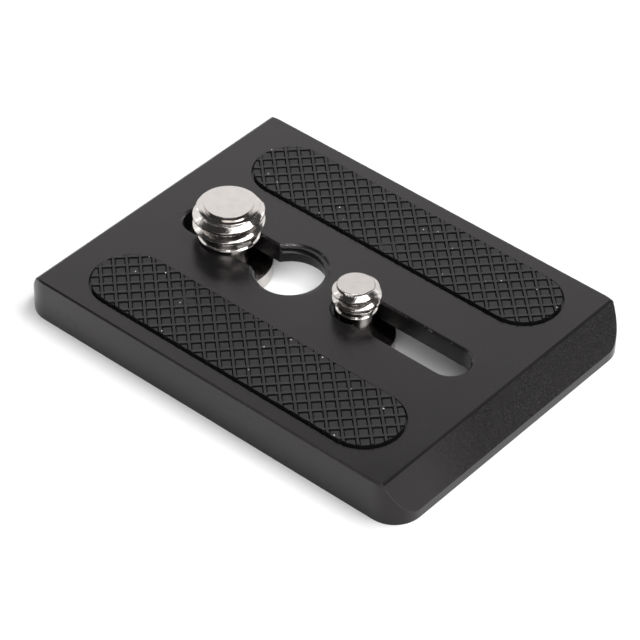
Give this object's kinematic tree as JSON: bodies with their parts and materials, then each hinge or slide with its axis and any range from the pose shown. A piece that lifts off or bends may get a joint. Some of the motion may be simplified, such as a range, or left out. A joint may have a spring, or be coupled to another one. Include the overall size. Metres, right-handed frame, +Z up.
{
  "type": "tripod quick release plate",
  "caption": "Flat dovetail plate that clamps a camera to a tripod head, with rubber grip pads and captive camera screws that slide in slots.",
  "frame": {"origin": "middle of the plate's underside", "axes": "+Z up towards the camera, +X along the slots towards the small screw, +Y across the slots"},
  "size_m": [0.064, 0.0466, 0.0117],
  "materials": {
    "anodised_aluminium": "fine matt black anodising with bare metal showing at worn edges",
    "pad_rubber": "matt black rubber with a raised diagonal net",
    "plated_steel": "bright nickel plating"
  },
  "bodies": {
    "plate": {"plate_body": "anodised_aluminium", "front_pad": "pad_rubber", "rear_pad": "pad_rubber"},
    "large_screw": {"large_camera_screw": "plated_steel"},
    "small_screw": {"small_camera_screw": "plated_steel"}
  },
  "joints": [
    {"name": "large_screw_slide", "type": "slide", "parent": "plate", "child": "large_screw", "axis": [1, 0, 0], "range_m": [-0.0045, 0.01069]},
    {"name": "small_screw_slide", "type": "slide", "parent": "plate", "child": "small_screw", "axis": [1, 0, 0], "range_m": [0, 0.0157]}
  ]
}
